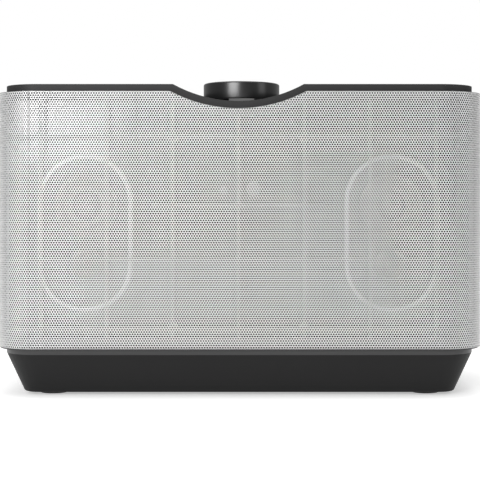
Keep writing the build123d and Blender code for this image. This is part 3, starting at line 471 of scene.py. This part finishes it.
def wrapStrip(bm):
    # bends the flat sheet round the front and the two sides, with its faces outwards
    for v in bm.verts:
        spot = wrapPoint(v.co.x)
        v.co = Vector((spot.x, spot.y, v.co.y))
    bmesh.ops.recalc_face_normals(bm, faces=bm.faces)
    sample = max(bm.faces, key=lambda f: f.calc_area())
    outward = Vector((sample.calc_center_median().x, sample.calc_center_median().y, 0))
    if sample.normal.dot(outward) < 0:
        bmesh.ops.reverse_faces(bm, faces=bm.faces)


def makeStrip(index):
    # a full-height strip of the sheet: a row of cells, the row above it, and then pairs of rows
    pitch = sleeve["holePitch"] * mm
    rowStep = pitch * math.sqrt(3) / 2
    columns = math.floor(2 * halfLength / pitch)
    perStrip = math.ceil(columns / sleeve["strips"])
    first = index * perStrip
    count = min(perStrip, columns - first)
    startX = -columns * pitch / 2 + (first + 0.5) * pitch
    startY = low.z + rowStep * sleeve["firstRow"]
    rows = math.ceil((high.z - low.z) / rowStep)
    bm = bmesh.new()
    hexCell(bm, (startX, startY, 0), pitch)
    repeat(bm, count, 0, startX, pitch, pitch / 2)
    copyFaces(bm, list(bm.faces), (pitch / 2, rowStep, 0))
    repeat(bm, math.ceil(rows / 2), 1, startY, 2 * rowStep, rowStep / 2)
    trimStrip(bm)
    wrapStrip(bm)
    name = f"sleeve_strip_{index + 1}"
    mesh = bpy.data.meshes.new(name)
    bm.to_mesh(mesh)
    bm.free()
    piece = addPiece(name, mesh, "front_grille", "sleeveSilver", creaseAngle=40.0)
    wall = piece.modifiers.new("gauge", "SOLIDIFY")
    wall.thickness = sleeve["gauge"] * mm
    wall.offset = -1.0
    return piece


for strip in range(sleeve["strips"]):
    made = makeStrip(strip)
    print("sleeve strip", strip + 1, "faces", len(made.data.polygons))


def makeHem():
    # the plain hem of the sheet along its bottom, top and two back edges; it takes a darker copy of the
    # sleeve's silver, painted shade along the edges where the panel and the base meet the sheet
    bm = bmesh.new()
    rim, gauge = sleeve["rim"] * mm, sleeve["gauge"] * mm
    steps = sleeve["hemSteps"]
    places = [-halfLength + 2 * halfLength * i / steps for i in range(steps + 1)]
    for lowEdge in (True, False):
        rings = []
        for along in places:
            outer, inner = wrapPoint(along), wrapPoint(along, gauge)
            base = low.z if lowEdge else topEdge(along) - rim
            corners = [(outer, base), (outer, base + rim), (inner, base + rim), (inner, base)]
            verts = [bm.verts.new((p.x, p.y, z)) for p, z in corners]
            rings.append([bm.edges.new((verts[i], verts[(i + 1) % 4])) for i in range(4)])
        for a, b in zip(rings, rings[1:]):
            bmesh.ops.bridge_loops(bm, edges=a + b)
        for ring in (rings[0], rings[-1]):
            bmesh.ops.holes_fill(bm, edges=ring, sides=4)
    for side in (-1, 1):
        made = bmesh.ops.create_cube(bm, size=1.0)
        scale = Matrix.Diagonal((gauge, rim, high.z - low.z, 1))
        place = Matrix.Translation((side * (halfWidth - gauge / 2), endY - rim / 2, (low.z + high.z) / 2))
        bmesh.ops.transform(bm, matrix=place @ scale, verts=made["verts"])
    bmesh.ops.recalc_face_normals(bm, faces=bm.faces)
    mesh = bpy.data.meshes.new("sleeve_hem")
    bm.to_mesh(mesh)
    bm.free()
    return addPiece("sleeve_hem", mesh, "front_grille", "sleeveHemPaintedShade", creaseAngle=40.0)


def paintFaces(name, finish, chosen):
    # a second finish on the faces of a piece that the test picks
    mesh = bpy.data.objects[name].data
    mesh.materials.append(materials[finish])
    for face in mesh.polygons:
        if chosen(face):
            face.material_index = 1


# the rim bands take lighter finishes than their pieces: painted light on the base's rim and a painted
# highlight on the pods' beads
rims = {"baseRimPaintedLight": 3.4, "podRim": 3.4}   # how far each rim reaches from its piece's edge, in mm


def onBaseRim():
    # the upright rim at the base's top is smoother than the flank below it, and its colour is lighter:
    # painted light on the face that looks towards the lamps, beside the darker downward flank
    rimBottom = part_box("base_shell")[1].z - rims["baseRimPaintedLight"] * mm
    return lambda face: face.center.z > rimBottom and abs(face.normal.z) < 0.2


def onPodRim(pod):
    # the bead round a pod's mouth: its front and outer flank, not the wall that leads inside; these faces
    # take a light metallic grey, a painted highlight on the outward-facing flank
    podLow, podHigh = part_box(pod)
    middle = (podLow + podHigh) / 2
    straight = (podHigh.z - podLow.z - podHigh.x + podLow.x) / 2

    def chosen(face):
        level = max(-straight, min(straight, face.center.z - middle.z))
        outward = Vector((face.center.x - middle.x, 0, face.center.z - middle.z - level)).normalized()
        return face.center.y < podLow.y + rims["podRim"] * mm and face.normal.dot(outward) > -0.3
    return chosen


makeHem()
for node, width in softEdges.items():
    breakEdges(node, width, node + "_body")
paintFaces("base_shell_body", "baseRimPaintedLight", onBaseRim())
# the pods' bead faces get the painted highlight finish
for pod in ("left_pod", "right_pod"):
    paintFaces(pod + "_body", "podRimPaintedHighlight", onPodRim(pod))
print("CAD shapes softened:", len(softEdges))


# the small drivers' cones, with fine turned rings, in mm
cone = {"depth": 5.0, "sheet": 0.6, "neck": 8.0, "land": 2.0, "rings": 6, "ringDepth": 0.25, "steps": 96}


def turnPiece(name, profile, axis, centre, steps, closed):
    # a mesh turned from a half section, which is closed where it doesn't reach the axis
    bm = bmesh.new()
    verts = [bm.verts.new(point) for point in profile]
    ends = verts[1:] + verts[:1] if closed else verts[1:]
    edges = [bm.edges.new(pair) for pair in zip(verts, ends)]
    bmesh.ops.spin(bm, geom=verts + edges, axis=axis, cent=centre, steps=steps, angle=math.tau,
                   use_merge=True)
    bmesh.ops.remove_doubles(bm, verts=bm.verts, dist=0.00001)
    bmesh.ops.recalc_face_normals(bm, faces=bm.faces)
    mesh = bpy.data.meshes.new(name)
    bm.to_mesh(mesh)
    bm.free()
    return mesh


def makeCone(side):
    node = side + "_driver_cone"
    boxLow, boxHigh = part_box(node)
    centre = (boxLow + boxHigh) / 2
    rim, end = (boxHigh.x - boxLow.x) / 2, boxHigh.y
    depth, sheet, neck = cone["depth"] * mm, cone["sheet"] * mm, cone["neck"] * mm
    flat = rim - cone["land"] * mm
    steps = 8 * cone["rings"]
    section = [(rim, 0), (rim, sheet), (flat, sheet), (neck, depth + sheet), (neck, end - boxLow.y),
               (neck - sheet, end - boxLow.y)]
    for step in range(steps, -1, -1):
        share = step / steps
        groove = cone["ringDepth"] * mm * (1 - math.cos(math.tau * cone["rings"] * share)) / 2
        section.append((flat + (neck - sheet - flat) * share, depth * share + groove))
    profile = [(centre.x + out, boxLow.y + back, centre.z) for out, back in section]
    mesh = turnPiece(side + "_ringed_cone", profile, (0, 1, 0), centre, cone["steps"], True)
    addPiece(side + "_ringed_cone", mesh, node, "coneAlloy")


for side in ("left", "right"):
    makeCone(side)
print("driver cones turned")

# the volume knob, in mm
knob = {
    "edge": 1.2,          # round at the top's rim
    "dish": 0.35,         # how far the top is hollowed
    "dishShare": 0.8,     # flat part of the hollow, over the radius
    "dishEase": 0.3,      # share of the hollow that is left where the rim's round starts
    "wall": 2.6,
    "roof": 3.0,
    "footRise": 1.2,      # where the wall starts to turn in above its lower rim
    "footEase": 0.1,
    "footRound": 0.5,
    "chamfer": 0.4,
    "hubRadius": 6.5,
    "hubGap": 0.6,        # the hub stops this far above the wall's lower rim
    "shaftBore": 3.02,
    "boreRise": 0.6,      # how far the bore runs into the roof
    "steps": 128,
}


def makeKnob():
    boxLow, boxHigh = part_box("knob")
    radius, bottom, top = boxHigh.x, boxLow.z, boxHigh.z
    edge, dish, roof, chamfer = (knob[part] * mm for part in ("edge", "dish", "roof", "chamfer"))
    inside = radius - knob["wall"] * mm
    foot = knob["footRound"] * mm
    hub, bore = knob["hubRadius"] * mm, knob["shaftBore"] * mm
    hubEnd = bottom + knob["hubGap"] * mm
    boreEnd = top - roof + knob["boreRise"] * mm
    section = [(0.0, top - dish), (radius * knob["dishShare"], top - dish)]
    section.append((radius - edge - dish, top - dish * knob["dishEase"]))
    for degrees in range(0, 91, 15):
        turn = math.radians(degrees)
        section.append((radius - edge + edge * math.sin(turn), top - edge + edge * math.cos(turn)))
    section += [(radius, bottom + knob["footRise"] * mm), (radius - knob["footEase"] * mm, bottom + foot),
                (radius - foot, bottom)]
    section += [(inside + chamfer, bottom), (inside, bottom + chamfer), (inside, top - roof)]
    section += [(hub, top - roof), (hub, hubEnd + chamfer), (hub - chamfer, hubEnd)]
    section += [(bore, hubEnd), (bore, boreEnd), (0.0, boreEnd)]
    points = [(out, 0, height) for out, height in section]
    mesh = turnPiece("volume_knob", points, (0, 0, 1), (0, 0, 0), knob["steps"], False)
    addPiece("volume_knob", mesh, "knob", "knobGloss")


makeKnob()
print("knob made")

# the floor, the sky and the ceiling's light, in metres and degrees
studio = {
    "floorSize": 6.0,
    "floorColour": (0.93, 0.93, 0.93, 1),
    "floorGlow": 0.45,
    "skyForCamera": 1.0,      # what the camera sees behind the object
    "skyFill": 0.30,          # what lights the object
    "sunPower": 1.5,
    "sunAngle": 70.0,
}
# each softbox's centre, width and height, and power
softboxes = {
    "softbox_key": ((-0.62, -1.45, 0.52), (0.8, 0.64), 13.0),
    "softbox_side": ((1.25, -0.58, 0.35), (0.5, 0.8), 1.3),
    "softbox_left": ((-1.0, -0.5, 0.1), (0.5, 0.16), 0.6),
}
softboxAim = (0, frontY, 0.12)
# the eye is in front of the sleeve, a little right of its middle
eye = {
    "distance": 0.85,
    "height": 0.127,
    "side": 0.0254,
    "viewWidth": 0.3194,      # what the frame takes in at the sleeve's front
    "sensor": 36.0,
    "shiftX": -0.0759,
    "shiftY": -0.0667,
}


def paperMaterial():
    made = bpy.data.materials.new("paperWhite")
    made.use_nodes = True
    tree = made.node_tree
    shader = tree.nodes["Principled BSDF"]
    tint = useGroup(tree, driftGroup, {
        "Color": studio["floorColour"], "Amount": 0.004, "Scale": 3.0, "Dust": 0.0})
    tree.links.new(tint.outputs["Color"], shader.inputs["Base Color"])
    shader.inputs["Roughness"].default_value = 0.9
    shader.inputs["Emission Color"].default_value = (1, 1, 1, 1)
    shader.inputs["Emission Strength"].default_value = studio["floorGlow"]
    return made


def makeFloor():
    bm = bmesh.new()
    bmesh.ops.create_grid(bm, x_segments=1, y_segments=1, size=studio["floorSize"] / 2)
    mesh = bpy.data.meshes.new("studio_floor")
    bm.to_mesh(mesh)
    bm.free()
    mesh.materials.append(paperMaterial())
    floor = bpy.data.objects.new("studio_floor", mesh)
    bpy.context.scene.collection.objects.link(floor)


def makeSky():
    # a white sky that lights the object less than it shows
    world = bpy.data.worlds.new("studio")
    world.use_nodes = True
    tree = world.node_tree
    sky = tree.nodes["Background"]
    sky.inputs["Color"].default_value = (1, 1, 1, 1)
    path = tree.nodes.new("ShaderNodeLightPath")
    strength = tree.nodes.new("ShaderNodeMapRange")
    strength.inputs["To Min"].default_value = studio["skyFill"]
    strength.inputs["To Max"].default_value = studio["skyForCamera"]
    tree.links.new(path.outputs["Is Camera Ray"], strength.inputs["Value"])
    tree.links.new(strength.outputs["Result"], sky.inputs["Strength"])
    bpy.context.scene.world = world


def makeCeilingLight():
    sun = bpy.data.lights.new("ceiling", "SUN")
    sun.energy = studio["sunPower"]
    sun.angle = math.radians(studio["sunAngle"])
    bpy.context.scene.collection.objects.link(bpy.data.objects.new("ceiling", sun))


def addSoftbox(name, place, size, power):
    lamp = bpy.data.lights.new(name, "AREA")
    lamp.shape = "RECTANGLE"
    lamp.size, lamp.size_y = size
    lamp.energy = power
    holder = bpy.data.objects.new(name, lamp)
    holder.location = place
    holder.rotation_euler = (Vector(softboxAim) - Vector(place)).to_track_quat("-Z", "Y").to_euler()
    bpy.context.scene.collection.objects.link(holder)


def makeCamera():
    camera = bpy.data.cameras.new("camera")
    camera.sensor_width = eye["sensor"]
    camera.lens = eye["sensor"] * eye["distance"] / eye["viewWidth"]
    camera.shift_x = eye["shiftX"]
    camera.shift_y = eye["shiftY"]
    camera.clip_start = 0.05
    holder = bpy.data.objects.new("camera", camera)
    holder.location = (eye["side"], frontY - eye["distance"], eye["height"])
    holder.rotation_euler = (math.radians(90), 0, 0)
    bpy.context.scene.collection.objects.link(holder)
    bpy.context.scene.camera = holder
    bpy.context.scene.view_settings.view_transform = "Standard"


makeFloor()
makeSky()
makeCeilingLight()
for name, (place, size, power) in softboxes.items():
    addSoftbox(name, place, size, power)
makeCamera()
print("stage set")
